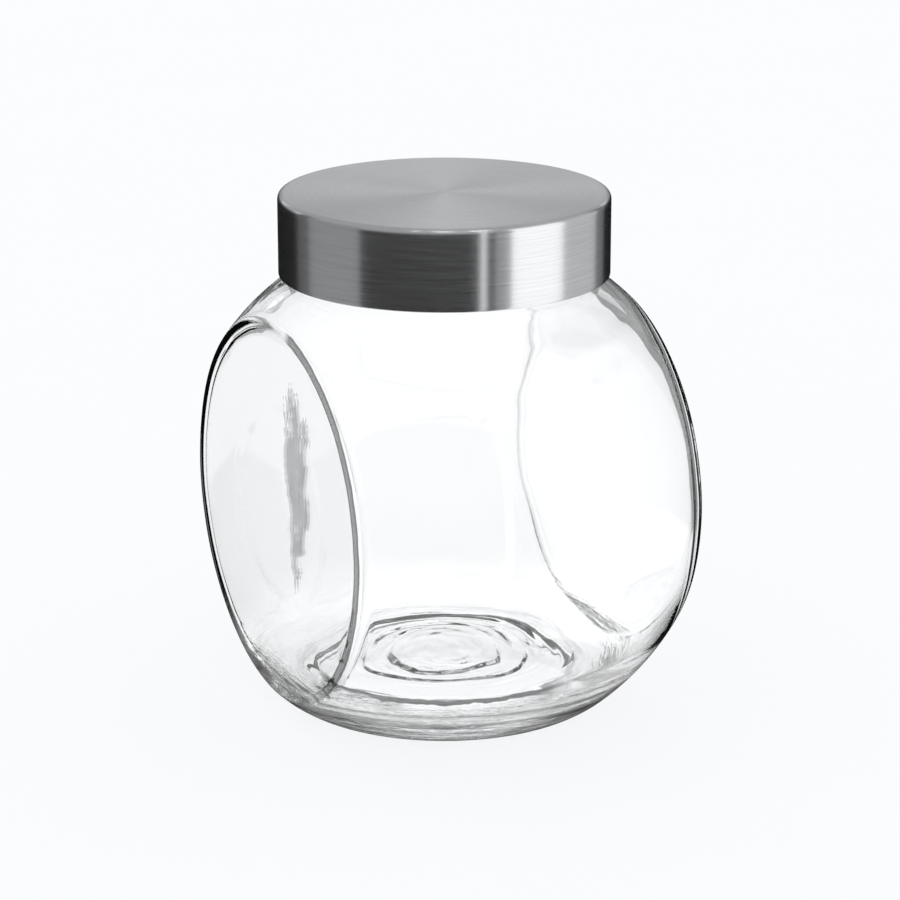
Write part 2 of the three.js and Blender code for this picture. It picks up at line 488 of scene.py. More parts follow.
    def painted_rim_lines(self, graph: Graph, spot: Spot) -> Socket:
        """Painted shade: two fine dark lines along each flat's rim, over the fold in the wall.

        The fold facing -X was pressed sharper than the other, so its lines are stronger.

        Args:
            graph: the material's graph.
            spot: the point that is being shaded.

        Returns:
            The painted lines' mask.
        """
        rise = (spot.z - self.centre_z) * self.rim_flatness
        reach = (spot.y * spot.y + rise * rise) ** 0.5
        uneven = graph.noise(spot.place, 90.0, 2.0)
        off = (reach - self.rim_radius + (uneven - 0.5) * 0.8 * MM) / self.rim_half
        off = off * off
        core = (1.0 - off).smooth(0.0, 0.9) * 0.09
        line = (1.9 - off).smooth(0.0, 0.6) * (1.0 - core)
        on_outside = abs(spot.x).smooth(self.rim_plane - 0.3 * MM, self.rim_plane)
        left = 1.0 - spot.x.smooth(-1 * MM, 1 * MM)
        sharp = left * (1.0 - spot.y.smooth(-14 * MM, -9 * MM))
        fade = 0.15 + spot.z.smooth(*self.rim_fade) * 0.85
        return line * on_outside * (0.1 + sharp * 0.88) * fade


@dataclass(frozen=True)
class SpunSteel:
    """Brushed stainless steel whose brush lines run round the lid's axis on top and skirt alike."""

    name: str = "spun_steel"
    light: Colour = (0.80, 0.80, 0.81)
    dark: Colour = (0.66, 0.665, 0.675)
    top_roughness: float = 0.33
    skirt_roughness: float = 0.24
    skirt_radius: float = 54.6 * MM
    anisotropy: float = 0.9
    groove: float = 0.0015 * MM

    def material(self) -> bpy.types.Material:
        """Builds the steel: rings of brush lines that change its tone, roughness and relief.

        Returns:
            The material.
        """
        material, graph = new_material(self.name)
        place = graph.place()
        radius = graph.off_axis(place)
        x, y, z = graph.parts(place)
        along = radius - z
        safe = radius + 0.0005

        def lines(per_metre: float, around: float, detail: float) -> Socket:
            """Brush lines, this many per metre across the brushing and long round it."""
            laid = graph.vector(x / safe * around, y / safe * around, along * per_metre)
            return graph.noise(laid, 1.0, detail, 0.6)

        fine = lines(3600.0, 3.0, 3.0)
        coarse = lines(1500.0, 1.4, 2.0)
        tone = (fine * 0.6 + coarse * 0.4).smooth(0.25, 0.75)
        on_skirt = radius.smooth(self.skirt_radius - 0.4 * MM, self.skirt_radius)
        base = self.top_roughness + (self.skirt_roughness - self.top_roughness) * on_skirt
        surface = {
            "Base Color": graph.mix(tone, self.dark, self.light),
            "Metallic": 1.0,
            "Roughness": fine * 0.10 + coarse * 0.04 + base - 0.07,
            "Anisotropic": self.anisotropy,
            "Anisotropic Rotation": 0.25,
            "Normal": graph.bump(fine, self.groove),
        }
        graph.finish(surface)
        return material


@dataclass(frozen=True)
class MouldedPlastic:
    """Satin moulded plastic with a faint grain and slow changes of tone."""

    name: str
    light: Colour
    dark: Colour
    roughness: float
    subsurface: float
    grain: float

    def material(self) -> bpy.types.Material:
        """Builds the plastic: cloudy tone, flow marks and a fine moulded grain.

        Returns:
            The material.
        """
        material, graph = new_material(self.name)
        place = graph.place()
        cloud = graph.noise(place, 70.0, 3.0)
        grain = graph.noise(place, 2200.0, 2.0)
        flow = graph.noise(graph.scaled(place, (1.0, 1.0, 6.0)), 120.0, 2.0)
        tone = (cloud * 0.6 + flow * 0.4).smooth(0.3, 0.7)
        surface = {
            "Base Color": graph.mix(tone, self.dark, self.light),
            "Roughness": grain * 0.12 + flow * 0.08 + (self.roughness - 0.1),
            "Subsurface Weight": self.subsurface,
            "Subsurface Radius": (0.004, 0.004, 0.004),
            "Subsurface Scale": 1.0,
            "Normal": graph.bump(grain, self.grain),
        }
        graph.finish(surface)
        return material


WHITE_PLASTIC = MouldedPlastic(
    "white_plastic",
    light=(0.90, 0.90, 0.885),
    dark=(0.84, 0.84, 0.82),
    roughness=0.42,
    subsurface=0.12,
    grain=0.01 * MM,
)
SILICONE = MouldedPlastic(
    "soft_silicone",
    light=(0.80, 0.83, 0.82),
    dark=(0.70, 0.74, 0.73),
    roughness=0.55,
    subsurface=0.35,
    grain=0.008 * MM,
)


@dataclass(frozen=True)
class PaleSweep:
    """The matt pale surface that the jar stands on."""

    name: str = "pale_sweep"
    light: Colour = (0.975, 0.982, 0.996)
    dark: Colour = (0.970, 0.977, 0.990)
    shade: float = 0.10

    def material(self) -> bpy.types.Material:
        """Builds a matt surface with a barely visible mottle.

        Returns:
            The material.
        """
        material, graph = new_material(self.name)
        mottle = graph.noise(graph.place(), 9.0, 2.0)
        matt = [tuple(self.shade * part for part in colour) for colour in (self.dark, self.light)]
        surface = {
            "Base Color": graph.mix(mottle, *matt),
            "Roughness": 1.0,
            "Specular IOR Level": 0.0,
            "Emission Color": graph.mix(mottle, self.dark, self.light),
            "Emission Strength": 1.0 - self.shade,
        }
        graph.finish(surface)
        return material


@dataclass(frozen=True)
class LightCard:
    """An evenly lit card or lining of the studio, which only reflections see."""

    name: str
    strength: float

    def material(self) -> bpy.types.Material:
        """Builds the card's even glow.

        Returns:
            The material.
        """
        material, graph = new_material(self.name)
        glow = {"Color": (0.98, 0.99, 1.0, 1.0), "Strength": self.strength}
        shader = graph.add("ShaderNodeEmission", {}, glow)
        graph.add("ShaderNodeOutputMaterial", {}, {"Surface": shader})
        return material


@dataclass(frozen=True)
class PaleLanes:
    """White lanes that lead away from the jar between dark flags, which only refraction sees.

    Each lane lies behind the jar as one side looks through it, so the clear glass stays white there
    and turns dark only where a thick or bent wall throws the view far to one side.
    """

    headings: tuple[float, ...]
    name: str = "pale_lanes"
    hue: Colour = (0.985, 0.99, 1.0)
    white: float = 1.11
    flag: float = 0.26
    half_width: float = 0.125
    spread: float = 0.10
    edge: float = 0.035
    disc: float = 0.12
    top: Span = (0.5, 1.3)

    def material(self) -> bpy.types.Material:
        """Builds the lanes' glow from the place on the floor or on the wall round it.

        Returns:
            The material.
        """
        material, graph = new_material(self.name)
        place = graph.place()
        x, y, z = graph.parts(place)
        radius = graph.off_axis(place)
        lit = 1.0 - radius.smooth(self.disc, self.disc + 2 * self.edge)
        for heading in self.headings:
            ahead = (math.sin(heading), -math.cos(heading))
            along = x * ahead[0] + y * ahead[1]
            aside = x * ahead[1] - y * ahead[0]
            half = along * self.spread + self.half_width
            over = (abs(aside) - half) / self.edge
            lane = (1.0 - over.smooth(0.0, 1.0)) * along.smooth(-0.05, 0.0)
            lit = lit.highest(lane)
        lit = lit * (1.0 - z.smooth(*self.top))
        dark = tuple(self.flag / self.white * part for part in self.hue)
        glow = {
            "Base Color": (0.0, 0.0, 0.0, 1.0),
            "Specular IOR Level": 0.0,
            "Emission Color": graph.mix(lit, dark, self.hue),
            "Emission Strength": self.white,
        }
        graph.finish(glow)
        return material


# ---- Outlines and turned meshes --------------------------------------------------------------


Outline = np.ndarray  # rows of (radius, height), in metres


def bend(start: Sequence[float], corner: Sequence[float], end: Sequence[float], steps: int) -> Outline:
    """Points of a smooth bend pulled towards a corner.

    Args:
        start: the first (radius, height).
        corner: the corner that the bend rounds.
        end: the last (radius, height).
        steps: how many spans the bend has.

    Returns:
        steps + 1 points.
    """
    t = np.linspace(0.0, 1.0, steps + 1)[:, None]
    start, corner, end = map(np.asarray, (start, corner, end))
    return (1 - t) ** 2 * start + 2 * t * (1 - t) * corner + t**2 * end


def straight(start: Sequence[float], end: Sequence[float], steps: int) -> Outline:
    """Points of a straight stretch, both ends included."""
    t = np.linspace(0.0, 1.0, steps + 1)[:, None]
    return (1 - t) * np.asarray(start) + t * np.asarray(end)


def joined(*stretches: Outline) -> Outline:
    """Lays stretches end to end.

    Args:
        stretches: the stretches, in order.

    Returns:
        Their points, with one that two of them share kept once.
    """
    points = np.vstack(stretches)
    keep = np.r_[True, np.linalg.norm(np.diff(points, axis=0), axis=1) > 1e-7]
    return points[keep]


def smoothstep(x: np.ndarray, low: float, high: float) -> np.ndarray:
    """0 below low and 1 above high, with a smooth change between them."""
    t = np.clip((x - low) / (high - low), 0.0, 1.0)
    return t * t * (3 - 2 * t)


@dataclass(frozen=True)
class Ripple:
    """Gentle waves in a turned surface: a sum of seeded sine waves over height and angle."""

    height: float
    wavelength: float
    around: int
    seed: int
    count: int = 7

    def at(self, angle: np.ndarray, along: np.ndarray) -> np.ndarray:
        """The waves' height.

        Args:
            angle: the angle round the axis, in radians.
            along: the distance up the wall, in metres.

        Returns:
            The height at each point, in metres.
        """
        dice = np.random.default_rng(self.seed)
        total = np.zeros(np.broadcast(angle, along).shape)
        for _ in range(self.count):
            turns = int(dice.integers(-self.around, self.around + 1))
            length = self.wavelength * dice.uniform(0.7, 1.5)
            total += np.sin(turns * angle + TURN * along / length + dice.uniform(0, TURN))
        return self.height * total / math.sqrt(self.count)


def turned_mesh(name: str, outline: Outline, columns: int) -> bmesh.types.BMesh:
    """A surface turned about Z from an outline whose ends may lie on the axis.

    Args:
        name: what the surface is, for the log.
        outline: its (radius, height) points.
        columns: how many sides it has.

    Returns:
        The surface, with its faces in the outline's order and one vertex on the axis at each end.
    """
    mesh = bmesh.new()
    angles = np.arange(columns) * TURN / columns
    rings = []
    for radius, height in outline:
        if radius < 1e-9:
            rings.append([mesh.verts.new((0.0, 0.0, height))])
        else:
            around = [(radius * math.cos(a), radius * math.sin(a), height) for a in angles]
            rings.append([mesh.verts.new(corner) for corner in around])
    for low, high in zip(rings, rings[1:]):
        for i in range(columns):
            j = (i + 1) % columns
            corners = [low[i % len(low)], low[j % len(low)], high[j % len(high)], high[i % len(high)]]
            mesh.faces.new(list(dict.fromkeys(corners)))
    log.debug("%s: %d rings of %d", name, len(rings), columns)
    return mesh


def moved(mesh: bmesh.types.BMesh, shift: Callable[[np.ndarray], np.ndarray]) -> None:
    """Moves every vertex.

    Args:
        mesh: the mesh to move.
        shift: gives the shifts of all the places at once.
    """
    places = np.array([v.co for v in mesh.verts])
    for vertex, place in zip(mesh.verts, places + shift(places)):
        vertex.co = place


def to_piece(
    name: str, mesh: bmesh.types.BMesh, finish: bpy.types.Material, smooth: bool = True
) -> bpy.types.Object:
    """Turns a bmesh into a shown object with one material.

    Args:
        name: the piece's name.
        mesh: its shape, which is freed.
        finish: its material.
        smooth: whether its faces are shaded smooth.

    Returns:
        The new object.
    """
    data = bpy.data.meshes.new(name)
    mesh.to_mesh(data)
    mesh.free()
    data.polygons.foreach_set("use_smooth", [smooth] * len(data.polygons))
    data.materials.append(finish)
    piece = bpy.data.objects.new(name, data)
    bpy.context.scene.collection.objects.link(piece)
    return piece


# ---- Thread ----------------------------------------------------------------------------------


@dataclass(frozen=True)
class Thread:
    """The screw thread that neck and insert share: ridges that fade out at both ends."""

    starts: int = 2
    pitch: float = 6 * MM
    sweep: float = math.radians(205)
    low_z: float = 157.5 * MM
    fade: float = 0.2

    def relief(self, angle: np.ndarray, height: np.ndarray, drop: float, half_width: float) -> np.ndarray:
        """How much of a ridge's full height stands at each place.

        Args:
            angle: the angle round the axis, in radians.
            height: the place's height.
            drop: how far these ridges lie under the neck's.
            half_width: half the ridge's width.

        Returns:
            0 away from the ridges and 1 on a crest.
        """
        total = np.zeros_like(height)
        for start in range(self.starts):
            turn = np.mod(angle - start * TURN / self.starts, TURN)
            middle = self.low_z - drop + self.starts * self.pitch * turn / TURN
            share = np.abs(2 * turn / self.sweep - 1)
            ends = 1 - smoothstep(share, 1 - self.fade, 1.0)
            across = np.clip(1 - ((height - middle) / half_width) ** 2, 0.0, 1.0)
            total = np.maximum(total, ends * across**0.8)
        return total

    def shift(
        self, places: np.ndarray, wall: float, ridge: float, half_width: float, drop: float = 0.0
    ) -> np.ndarray:
        """How far a threaded wall is pushed out of its plain round shape.

        Args:
            places: the points of the piece.
            wall: the radius of the wall that has the thread.
            ridge: how far its ridges stand outwards, or inwards if negative.
            half_width: half a ridge's width.
            drop: how far these ridges lie under the neck's.

        Returns:
            A shift for each point.
        """
        radius = np.hypot(places[:, 0], places[:, 1])
        angle = np.arctan2(places[:, 1], places[:, 0])
        on_wall = np.abs(radius - wall) < 0.05 * MM
        height = ridge * self.relief(angle, places[:, 2], drop, half_width) * on_wall
        outward = places / np.maximum(radius, 1e-9)[:, None]
        outward[:, 2] = 0.0
        return outward * height[:, None]


# ---- Glass jar -------------------------------------------------------------------------------


class Skin(Enum):
    """The two sides of the jar's wall."""

    OUTSIDE = "outside"
    INSIDE = "inside"


@dataclass
class GlassJar:
    """The jar: an ellipse turned about Z, cut by two flats with rounded rims, with a screw neck."""

    flat_x: float
    radius: float
    rim_z: float
    half_height: float = 89.2 * MM
    centre_z: float = 72.1 * MM
    side_wall: float = 2.9 * MM
    end_wall: float = 4.8 * MM
    neck_radius: float = 49.3 * MM
    mouth_radius: float = 45.3 * MM
    foot: Span = (43.5 * MM, 49 * MM)
    punt: float = 3.2 * MM
    floor_z: float = 9 * MM
    floor_radius: float = 45 * MM
    crown: float = 3.4 * MM
    floor_steps: tuple[tuple[float, float, float], ...] = (
        (0.10, 50.5 * MM, 49.0 * MM),
        (0.30, 46.5 * MM, 44.5 * MM),
        (0.25, 29.5 * MM, 27.5 * MM),
        (0.35, 19.5 * MM, 17.8 * MM),
    )
    sharp_fold: Span = (3.2 * MM, 7.5 * MM)
    soft_fold: Span = (4.5 * MM, 12 * MM)
    columns: int = 192
    thread: Thread = field(default_factory=Thread)
    ridge: float = 1.75 * MM
    ridge_width: float = 1.5 * MM

    def half_axes(self, skin: Skin) -> Span:
        """Half the width and half the height of a skin's ellipse."""
        if skin is Skin.OUTSIDE:
            return self.radius, self.half_height
        return self.radius - self.side_wall, self.half_height - self.end_wall

    def ellipse(self, skin: Skin, low: float, high: float, steps: int) -> Outline:
        """The wall's ellipse between two heights, evenly spaced in angle.

        Args:
            skin: which skin it is.
            low: the lower height.
            high: the upper height.
            steps: how many spans it has.

        Returns:
            The points, from low to high.
        """
        across, up = self.half_axes(skin)
        ends = [math.asin((z - self.centre_z) / up) for z in (low, high)]
        angles = np.linspace(*ends, steps + 1)
        return np.c_[across * np.cos(angles), self.centre_z + up * np.sin(angles)]

    def height_at(self, skin: Skin, radius: float) -> float:
        """The height of the wall's upper half at a radius."""
        across, up = self.half_axes(skin)
        return self.centre_z + up * math.sqrt(1 - (radius / across) ** 2)

    def outside(self) -> Outline:
        """The outline from the middle of the punt to the middle of the rim.

        Returns:
            The points, in order.
        """
        inner, outer = self.foot
        neck, rim, punt = self.neck_radius, self.rim_z, self.punt
        corner = self.radius * math.sqrt(1 - (self.centre_z / self.half_height) ** 2)
        shoulder_z = self.height_at(Skin.OUTSIDE, neck + 2.4 * MM)
        neck_z = self.height_at(Skin.OUTSIDE, neck) + 3 * MM
        wall = self.ellipse(Skin.OUTSIDE, 4.5 * MM, shoulder_z, 84)
        lip = 1.4 * MM
        foot_side = (inner - 0.9 * MM, 0.8 * MM)
        return joined(
            straight((0, punt), (inner * 0.5, punt), 8),
            bend((inner * 0.5, punt), (inner - 4 * MM, punt), foot_side, 10),
            bend(foot_side, (inner, 0), (inner + 1.4 * MM, 0), 5),
            straight((inner + 1.4 * MM, 0), (outer, 0), 3),
            bend((outer, 0), (corner, 0), wall[0], 10),
            wall,
            bend(wall[-1], (neck, neck_z - 3 * MM), (neck, neck_z), 8),
            straight((neck, neck_z), (neck, rim - lip), 44),
            bend((neck, rim - lip), (neck, rim), (neck - lip, rim), 6),
            straight((neck - lip, rim), ((neck + self.mouth_radius) / 2, rim), 1),
        )

    def inside(self) -> Outline:
        """The outline from the middle of the rim down to the middle of the floor.

        Returns:
            The points, in order.
        """
        mouth, rim, floor = self.mouth_radius, self.rim_z, self.floor_z
        lip = 1.2 * MM
        shoulder_z = self.height_at(Skin.INSIDE, mouth + 3.6 * MM)
        neck_z = self.height_at(Skin.INSIDE, mouth) + 4 * MM
        wall = self.ellipse(Skin.INSIDE, 2 * floor, shoulder_z, 72)[::-1]
        radii = np.linspace(self.floor_radius + 3 * MM, 0.0, 64)
        return joined(
            straight(((self.neck_radius + mouth) / 2, rim), (mouth + lip, rim), 1),
            bend((mouth + lip, rim), (mouth, rim), (mouth, rim - lip), 6),
            straight((mouth, rim - lip), (mouth, neck_z), 12),
            bend((mouth, neck_z), (mouth, neck_z - 4 * MM), wall[0], 10),
            wall,
            bend(wall[-1], (60 * MM, floor - 0.4 * MM), (radii[0], floor), 44),
            np.c_[radii, np.full_like(radii, floor)],
        )

    def cut_flat(self, mesh: bmesh.types.BMesh, side: int, skin: Skin) -> None:
        """Cuts one flat into a skin and rounds its rim.

        Args:
            mesh: the turned skin.
            side: +1 for the flat facing +X, -1 for the other.
            skin: which skin it is.
        """
        inside = skin is Skin.INSIDE
        plane = self.flat_x - (self.side_wall if inside else 0.0)
        ball = (self.soft_fold if side > 0 else self.sharp_fold)[inside]
        sphere = self.radius - (self.side_wall if inside else 0.0)
        cut_x = (plane - ball) * sphere / (sphere - ball)
        slope = math.acos((plane - ball) / (sphere - ball))
        geometry = [*mesh.verts, *mesh.edges, *mesh.faces]
        bmesh.ops.bisect_plane(
            mesh, geom=geometry, plane_co=(side * cut_x, 0, 0), plane_no=(side, 0, 0), clear_outer=True
        )
        loop = [v for v in mesh.verts if v.is_boundary and abs(v.co.x - side * cut_x) < 1e-6]
        bmesh.ops.remove_doubles(mesh, verts=loop, dist=0.35 * MM)
        loop = [v for v in mesh.verts if v.is_boundary and abs(v.co.x - side * cut_x) < 1e-5]
        loop.sort(key=lambda v: math.atan2(v.co.z - self.centre_z, v.co.y))
        spokes = np.array([(v.co.y, v.co.z - self.centre_z) for v in loop])
        reach = np.linalg.norm(spokes, axis=1)
        spokes /= reach[:, None]
        ring = loop
        edge = reach - ball * math.sin(slope)
        rows = [
            (plane - ball + ball * math.cos(a), edge + ball * math.sin(a))
            for a in np.linspace(slope, 0.0, 10)[1:]
        ]
        rows += [(plane, edge * share) for share in np.linspace(0.96, 0.0, 26)[:-1]]
        for x, reaches in rows:
            spots = reaches[:, None] * spokes + (0.0, self.centre_z)
            fresh = [mesh.verts.new((side * x, *spot)) for spot in spots]
            self.stitch(mesh, ring, fresh)
            ring = fresh
        middle = mesh.verts.new((side * plane, 0.0, self.centre_z))
        for i, vertex in enumerate(ring):
            mesh.faces.new((vertex, ring[(i + 1) % len(ring)], middle))

    @staticmethod
    def stitch(mesh: bmesh.types.BMesh, outer: list, inner: list) -> None:
        """Joins two rings of the same count with quads.

        Args:
            mesh: the mesh that both rings are in.
            outer: one ring's vertices, in order.
            inner: the other's, in the same order.
        """
        count = len(outer)
        for i in range(count):
            j = (i + 1) % count
            mesh.faces.new((outer[i], outer[j], inner[j], inner[i]))

    def waves(self, places: np.ndarray, skin: Skin) -> np.ndarray:
        """How far the hand-blown surface strays from its true shape.

        Args:
            places: the skin's points.
            skin: which skin it is.

        Returns:
            A shift for each point.
        """
        away = places - (0.0, 0.0, self.centre_z)
        normal = away / np.maximum(np.linalg.norm(away, axis=1), 1e-9)[:, None]
        angle = np.arctan2(places[:, 1], places[:, 0])
        z = places[:, 2]
        radius = np.hypot(places[:, 0], places[:, 1])
        if skin is Skin.OUTSIDE:
            body = smoothstep(z, 6 * MM, 14 * MM) * (1 - smoothstep(z, 132 * MM, 142 * MM))
            return normal * (body * Ripple(0.03 * MM, 34 * MM, 3, 5).at(angle, z))[:, None]
        on_wall = smoothstep(radius, 40 * MM, 47 * MM) * (1 - smoothstep(z, 141 * MM, 147 * MM))
        shoulder = smoothstep(z, 104 * MM, 132 * MM) * on_wall
        heel = (1 - smoothstep(z, 14 * MM, 34 * MM)) * on_wall
        amount = on_wall * Ripple(0.10 * MM, 30 * MM, 4, 11).at(angle, z)
        amount += shoulder * Ripple(0.09 * MM, 12 * MM, 7, 23).at(angle, z)
        amount += heel * Ripple(0.22 * MM, 5.5 * MM, 4, 31).at(angle, z)
        flat = np.abs(places[:, 0]) > self.flat_x - self.side_wall - 0.5 * MM
        disc = np.hypot(places[:, 1], z - self.centre_z)
        ring = flat * 0.2 * MM * np.exp(-(((disc - 33 * MM) / (2.4 * MM)) ** 2))
        shift = -normal * amount[:, None]
        shift[:, 2] += self.floor_lumps(angle, radius) * (z < 16 * MM)
        shift[:, 0] -= np.sign(places[:, 0]) * ring
        return shift

    def floor_lumps(self, angle: np.ndarray, radius: np.ndarray) -> np.ndarray:
        """How high the inside floor stands: ragged steps up to the middle, and a gentle swell.

        Args:
            angle: the angle round the axis, in radians.
            radius: the distance from the axis.

        Returns:
            The height at each point, in metres.
        """
        wobble = smoothstep(radius, 2 * MM, 10 * MM) * Ripple(0.8 * MM, 24 * MM, 7, 61).at(angle, radius)
        wobble += smoothstep(radius, 6 * MM, 20 * MM) * Ripple(0.35 * MM, 9 * MM, 16, 67).at(angle, radius)
        inward = -(radius + wobble)
        steps = sum(share * smoothstep(inward, -foot, -head) for share, foot, head in self.floor_steps)
        swell = Ripple(0.16 * MM, 16 * MM, 5, 43).at(angle, radius)
        swell += Ripple(0.06 * MM, 4 * MM, 9, 47).at(angle, radius)
        floor = 1 - smoothstep(radius, 51 * MM, 56 * MM)
        return floor * (self.crown * steps + swell * smoothstep(radius, 2 * MM, 12 * MM))

    def skin(self, skin: Skin) -> bmesh.types.BMesh:
        """One skin of the wall with both flats, its waves and, outside, the neck's thread.

        Args:
            skin: which skin it is.

        Returns:
            The skin, open where the two skins meet on the rim.
        """
        outline = self.outside() if skin is Skin.OUTSIDE else self.inside()
        mesh = turned_mesh(skin.value, outline, self.columns)
        for side in (1, -1):
            self.cut_flat(mesh, side, skin)
        if skin is Skin.OUTSIDE:
            cut = (self.neck_radius, self.ridge, self.ridge_width)
            moved(mesh, lambda places: self.thread.shift(places, *cut))
        moved(mesh, lambda places: self.waves(places, skin))
        return mesh

    def build(self, finish: bpy.types.Material) -> bpy.types.Object:
        """Builds the jar as one closed body of glass.

        Args:
            finish: the glass.

        Returns:
            The jar, riding on its body in place of the CAD node.
        """
        whole = self.skin(Skin.OUTSIDE)
        lining = self.skin(Skin.INSIDE)
        spare = bpy.data.meshes.new("jar_lining")
        lining.to_mesh(spare)
        lining.free()
        whole.from_mesh(spare)
        bpy.data.meshes.remove(spare)
        bmesh.ops.remove_doubles(whole, verts=whole.verts, dist=0.005 * MM)
        bmesh.ops.recalc_face_normals(whole, faces=whole.faces)
        piece = to_piece("glass_jar_body", whole, finish)
        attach(piece, "jar")
        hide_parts("glass_jar")
        return piece


# ---- Lid -------------------------------------------------------------------------------------


@dataclass
class LidShell:
    """The steel cap: a flat top, a rounded edge, a straight skirt and a folded-in lower edge."""

    radius: float
    top_z: float
    bottom_z: float
    edge: float = 2.2 * MM
    sheet: float = 0.55 * MM
    fold: float = 2.4 * MM
    columns: int = 256

    def outline(self) -> Outline:
        """The closed outline, from the middle of the top round to the middle of the underside.

        Returns:
            The points, in order.
        """
        outer, inner = self.radius, self.radius - self.sheet
        top, under = self.top_z, self.top_z - self.sheet
        low, ledge = self.bottom_z, self.bottom_z + self.sheet
        curl, tip, tip_z = 0.55 * MM, 0.2 * MM, self.bottom_z + 0.27 * MM
        level = outer - self.edge
        fold = outer - self.fold
        inner_bend = self.edge - self.sheet
        return joined(
            straight((0, top), (level - 3 * MM, top), 24),
            straight((level - 3 * MM, top), (level, top), 2),
            bend((level, top), (outer, top), (outer, top - self.edge), 12),
            straight((outer, top - self.edge), (outer, low + curl), 24),
            bend((outer, low + curl), (outer, low), (outer - curl, low), 6),
            straight((outer - curl, low), (fold + tip, low), 3),
            bend((fold + tip, low), (fold, low), (fold, tip_z), 3),
            bend((fold, tip_z), (fold, ledge), (fold + tip, ledge), 3),
            straight((fold + tip, ledge), (inner, ledge), 3),
            straight((inner, ledge), (inner, under - inner_bend), 20),
            bend((inner, under - inner_bend), (inner, under), (inner - inner_bend, under), 8),
            straight((inner - inner_bend, under), (0, under), 14),
        )

    def build(self, finish: bpy.types.Material) -> bpy.types.Object:
        """Builds the cap.

        Args:
            finish: the steel.

        Returns:
            The cap, riding on the lid in place of the CAD node.
        """
        mesh = turned_mesh("lid_shell", self.outline(), self.columns)
        bmesh.ops.recalc_face_normals(mesh, faces=mesh.faces)
        piece = to_piece("lid_cap", mesh, finish)
        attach(piece, "lid")
        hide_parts("lid_shell")
        return piece


@dataclass
class LidInsert:
    """The plastic cup inside the cap, with the inside thread and the seat of the sealing ring."""

    outer: float
    top_z: float
    bottom_z: float
    wall: float = 2.1 * MM
    plate: float = 1.35 * MM
    seal_space: float = 2.2 * MM
    seal_inner: float = 44.6 * MM
    gap: float = 0.3 * MM
    ridge: float = 1.35 * MM
    ridge_width: float = 1.2 * MM
    drop: float = 2.15 * MM
    columns: int = 192
    thread: Thread = field(default_factory=Thread)

    def outline(self) -> Outline:
        """The closed outline, from the middle of the top round to the middle of the underside.

        Returns:
            The points, in order.
        """
        outer, low, top = self.outer, self.bottom_z, self.top_z
        inner = outer - self.wall
        plate_z = top - self.plate
        bead_z, bead_r = plate_z - self.seal_space, inner - 0.7 * MM
        guide = self.seal_inner - self.gap
        guide_back, guide_z = guide - 1.6 * MM, plate_z - 1.4 * MM
        soft, chamfer = 0.3 * MM, 2 * MM
        return joined(
            straight((0, top), (outer - chamfer, top), 6),
            straight((outer - chamfer, top), (outer, top - chamfer), 2),
            straight((outer, top - chamfer), (outer, low + soft), 6),
            bend((outer, low + soft), (outer, low), (outer - soft, low), 3),
            bend((inner + 0.9 * MM, low), (inner, low), (inner, low + 1.2 * MM), 5),
            straight((inner, low + 1.2 * MM), (inner, bead_z - 1.4 * MM), 46),
            bend((inner, bead_z - 1.4 * MM), (bead_r, bead_z - 0.9 * MM), (bead_r, bead_z - soft), 4),
            bend((bead_r, bead_z - soft), (bead_r, bead_z), (inner, bead_z), 4),
            straight((inner, bead_z), (inner, plate_z - soft), 4),
            bend((inner, plate_z - soft), (inner, plate_z), (inner - soft, plate_z), 3),
            straight((inner - soft, plate_z), (guide + soft, plate_z), 6),
            bend((guide + soft, plate_z), (guide, plate_z), (guide, plate_z - soft), 3),
            bend((guide, guide_z + soft), (guide, guide_z), (guide - soft, guide_z), 4),
            bend((guide_back + soft, guide_z), (guide_back, guide_z), (guide_back, guide_z + soft), 4),
            bend((guide_back, plate_z - soft), (guide_back, plate_z), (guide_back - soft, plate_z), 3),
            self.under_plate(guide_back - soft, plate_z),
        )

    @staticmethod
    def under_plate(start: float, plate_z: float) -> Outline:
        """The plate's underside: low moulded rings and the mark of the injection gate.

        Args:
            start: the radius at which it starts.
            plate_z: the plate's height there.

        Returns:
            The points, from start to the axis.
        """
        radii = np.linspace(start, 0.0, 60)
        rings = sum(0.35 * MM * np.exp(-(((radii - r) / (0.9 * MM)) ** 2)) for r in (14 * MM, 28 * MM))
        gate = 0.3 * MM * np.exp(-((radii / (1.6 * MM)) ** 2))
        return np.c_[radii, plate_z - rings - gate]

    def build(self, finish: bpy.types.Material) -> bpy.types.Object:
        """Builds the insert.

        Args:
            finish: the plastic.

        Returns:
            The insert, riding on the lid in place of the CAD node.
        """
        mesh = turned_mesh("lid_insert", self.outline(), self.columns)
        cut = (self.outer - self.wall, -self.ridge, self.ridge_width, self.drop)
        moved(mesh, lambda places: self.thread.shift(places, *cut))
        bmesh.ops.recalc_face_normals(mesh, faces=mesh.faces)
        piece = to_piece("lid_insert_cup", mesh, finish)
        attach(piece, "lid")
        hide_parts("lid_insert")
        return piece


